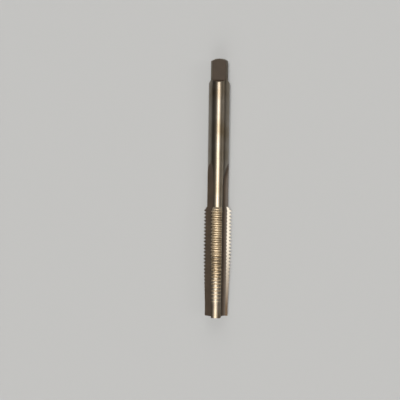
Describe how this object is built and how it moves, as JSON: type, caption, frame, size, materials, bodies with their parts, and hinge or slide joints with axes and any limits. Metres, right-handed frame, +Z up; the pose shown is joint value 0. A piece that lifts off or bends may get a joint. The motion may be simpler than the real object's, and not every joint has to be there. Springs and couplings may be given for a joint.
{
  "type": "thread tap",
  "caption": "Straight-flute hand tap with a long tapered lead, a fine cutting thread, a plain round shank and a driving square.",
  "frame": {"origin": "on the surface that the tap lies on, under the middle of its length and its axis", "axes": "+Y along the tap's axis from the cutting tip towards the driving square, +Z up through the middle of the top land, +X to the right seen from above with the square away from the viewer"},
  "size_m": [0.0118, 0.11, 0.0108],
  "materials": {
    "tap_steel": "ground high-speed steel with a bronze-brown heat tint, darker in the flutes and on the square"
  },
  "bodies": {
    "root": {"tap": "tap_steel"}
  },
  "joints": []
}
